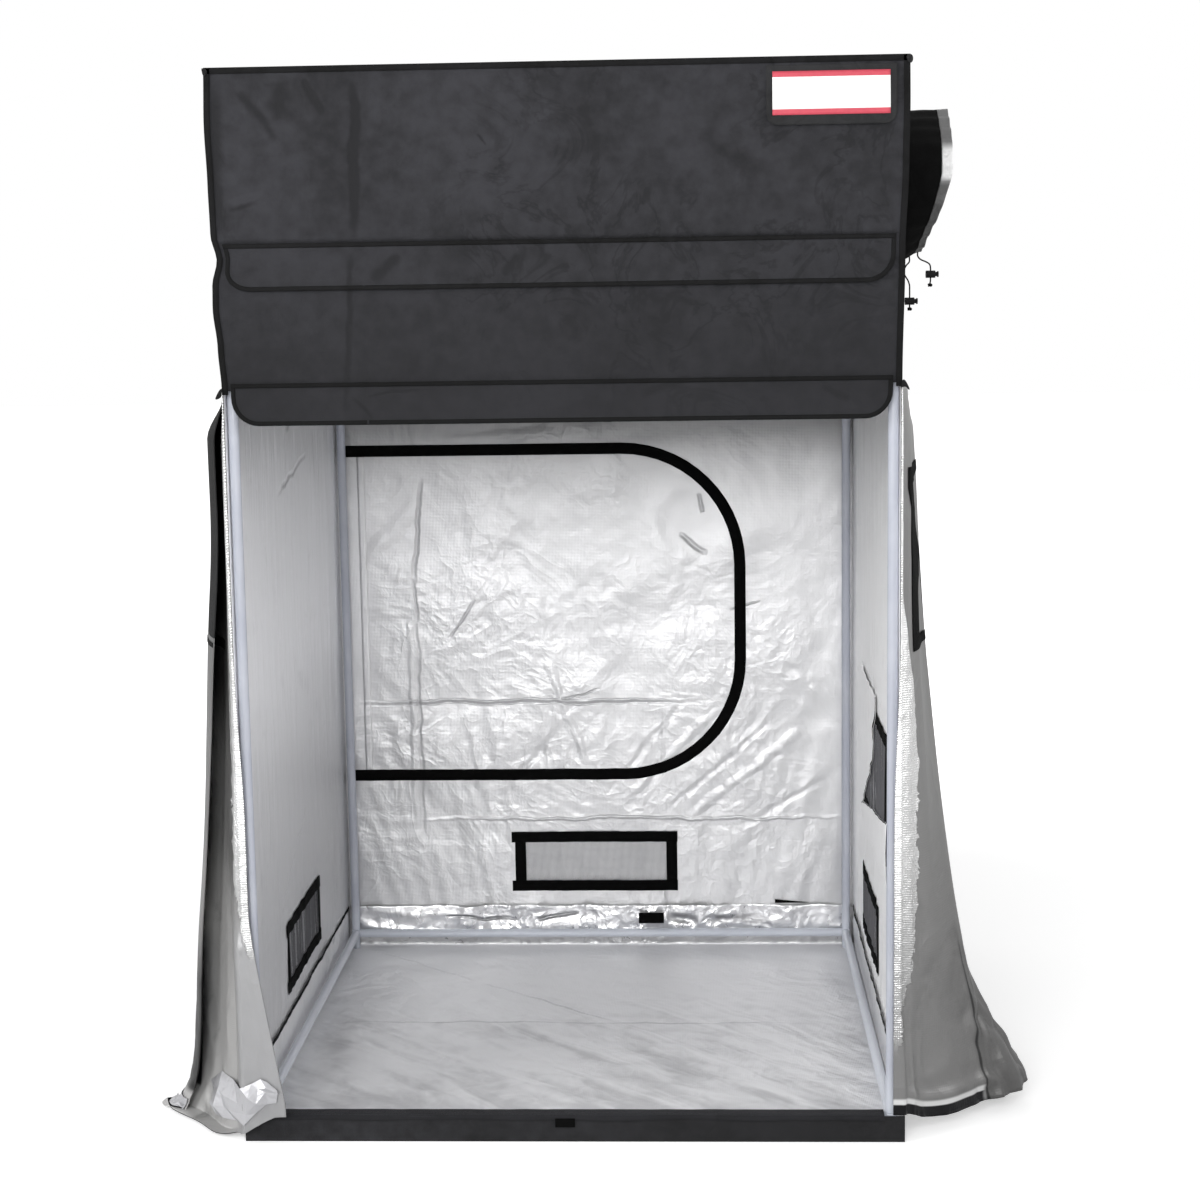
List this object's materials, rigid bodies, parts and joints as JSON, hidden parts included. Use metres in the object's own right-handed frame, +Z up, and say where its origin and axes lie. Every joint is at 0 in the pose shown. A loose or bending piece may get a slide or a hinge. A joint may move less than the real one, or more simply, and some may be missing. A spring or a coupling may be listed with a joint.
{
  "type": "indoor grow tent",
  "caption": "Tall square fabric tent on a tube frame with an open front, folded-back doors, storm flaps, screened vents, zipped rear door, duct sleeve and silver floor tray.",
  "frame": {"origin": "middle of the underside of the floor sheet", "axes": "+Z up, -Y out of the open front, +X to the viewer's right, the side with the duct sleeve"},
  "size_m": [1.7053, 1.2464, 1.98],
  "materials": {
    "painted_steel": "smooth white paint with a slight blue cast",
    "black_canvas": "heavy woven polyester canvas, matt black, silver lined inside",
    "silver_cloth": "silver metallised lining, crinkled, satin to glossy",
    "black_tape": "black woven binding tape",
    "grey_mesh": "fine dark netting",
    "black_cord": "braided black cord",
    "black_plastic": "matt black moulded plastic",
    "zip_metal": "black enamelled zip slider"
  },
  "bodies": {
    "tent": {"post_front_left": "painted_steel", "post_front_right": "painted_steel", "post_back_left": "painted_steel", "post_back_right": "painted_steel", "extension_post_front_left": "painted_steel", "extension_post_front_right": "painted_steel", "extension_post_back_left": "painted_steel", "extension_post_back_right": "painted_steel", "bottom_rail_front": "painted_steel", "bottom_rail_back": "painted_steel", "bottom_rail_left": "painted_steel", "bottom_rail_right": "painted_steel", "top_rail_front": "painted_steel", "top_rail_back": "painted_steel", "top_rail_left": "painted_steel", "top_rail_right": "painted_steel", "bottom_fitting_front_left": "painted_steel", "bottom_fitting_front_right": "painted_steel", "bottom_fitting_back_left": "painted_steel", "bottom_fitting_back_right": "painted_steel", "top_fitting_front_left": "painted_steel", "top_fitting_front_right": "painted_steel", "top_fitting_back_left": "painted_steel", "top_fitting_back_right": "painted_steel", "roof_panel": "black_canvas", "left_wall": "black_canvas", "right_wall": "black_canvas", "back_wall": "black_canvas", "base_panel": "black_canvas", "extension_panel": "black_canvas", "door_header": "black_canvas", "rear_door_tape": "black_tape", "left_vent_mesh": "grey_mesh", "left_vent_tape": "black_tape", "right_vent_mesh": "grey_mesh", "right_vent_tape": "black_tape", "back_vent_mesh": "grey_mesh", "back_vent_tape": "black_tape", "side_window_mesh": "grey_mesh", "side_window_tape": "black_tape", "floor_tray": "silver_cloth", "duct_sleeve": "black_canvas", "outer_draw_cord": "black_cord", "inner_draw_cord": "black_cord"},
    "front_bar": {"hanging_bar_front": "painted_steel"},
    "back_bar": {"hanging_bar_back": "painted_steel"},
    "extension_flap": {"extension_storm_flap": "black_canvas"},
    "door_flap": {"door_storm_flap": "black_canvas"},
    "left_door": {"left_door": "silver_cloth"},
    "right_door": {"right_door": "silver_cloth"},
    "rear_door": {"rear_door": "black_canvas"},
    "zip_slider": {"rear_zip_slider": "zip_metal"},
    "left_cover": {"left_vent_cover": "black_canvas"},
    "right_cover": {"right_vent_cover": "black_canvas"},
    "back_cover": {"back_vent_cover": "black_canvas"},
    "window_cover": {"side_window_cover": "black_canvas"},
    "outer_lock": {"outer_cord_lock": "black_plastic"},
    "outer_plunger": {"outer_cord_lock_plunger": "black_plastic"},
    "inner_lock": {"inner_cord_lock": "black_plastic"},
    "inner_plunger": {"inner_cord_lock_plunger": "black_plastic"}
  },
  "joints": [
    {"name": "front_bar_slide", "type": "slide", "parent": "tent", "child": "front_bar", "axis": [0, 1, 0], "range_m": [-0.28, 0.16]},
    {"name": "back_bar_slide", "type": "slide", "parent": "tent", "child": "back_bar", "axis": [0, 1, 0], "range_m": [-0.16, 0.28]},
    {"name": "extension_flap_lift", "type": "hinge", "parent": "tent", "child": "extension_flap", "pos_m": [0, -0.6221, 1.673], "axis": [-1, 0, 0], "range_deg": [0, 150]},
    {"name": "door_flap_lift", "type": "hinge", "parent": "tent", "child": "door_flap", "pos_m": [0, -0.6221, 1.425], "axis": [-1, 0, 0], "range_deg": [0, 150]},
    {"name": "left_door_swing", "type": "hinge", "parent": "tent", "child": "left_door", "pos_m": [-0.6203, -0.62, 0], "axis": [0, 0, 1], "range_deg": [0, 180]},
    {"name": "right_door_swing", "type": "hinge", "parent": "tent", "child": "right_door", "pos_m": [0.6203, -0.62, 0], "axis": [0, 0, -1], "range_deg": [0, 180]},
    {"name": "rear_door_swing", "type": "hinge", "parent": "tent", "child": "rear_door", "pos_m": [-0.55485, 0.62, 0.8235], "axis": [0, 0, 1], "range_deg": [0, 120]},
    {"name": "zip_slider_run", "type": "slide", "parent": "tent", "child": "zip_slider", "axis": [1, 0, 0], "range_m": [0, 0.6]},
    {"name": "left_cover_lift", "type": "hinge", "parent": "tent", "child": "left_cover", "pos_m": [-0.6221, 0.025, 0.306], "axis": [0, 1, 0], "range_deg": [0, 150]},
    {"name": "right_cover_lift", "type": "hinge", "parent": "tent", "child": "right_cover", "pos_m": [0.6221, 0.14, 0.306], "axis": [0, -1, 0], "range_deg": [0, 150]},
    {"name": "back_cover_lift", "type": "hinge", "parent": "tent", "child": "back_cover", "pos_m": [-0.007, 0.6221, 0.306], "axis": [1, 0, 0], "range_deg": [0, 150]},
    {"name": "window_cover_lift", "type": "hinge", "parent": "tent", "child": "window_cover", "pos_m": [0.6221, 0.018, 0.718], "axis": [0, -1, 0], "range_deg": [0, 150]},
    {"name": "outer_lock_slide", "type": "slide", "parent": "tent", "child": "outer_lock", "axis": [0, 0, 1], "range_m": [0, 0.006]},
    {"name": "outer_plunger_press", "type": "slide", "parent": "outer_lock", "child": "outer_plunger", "axis": [-1, 0, 0], "range_m": [0, 0.0035], "stiffness_N_per_m": 300, "springref_m": -0.003},
    {"name": "inner_lock_slide", "type": "slide", "parent": "tent", "child": "inner_lock", "axis": [0, 0, 1], "range_m": [0, 0.02]},
    {"name": "inner_plunger_press", "type": "slide", "parent": "inner_lock", "child": "inner_plunger", "axis": [-1, 0, 0], "range_m": [0, 0.0035], "stiffness_N_per_m": 300, "springref_m": -0.003}
  ]
}
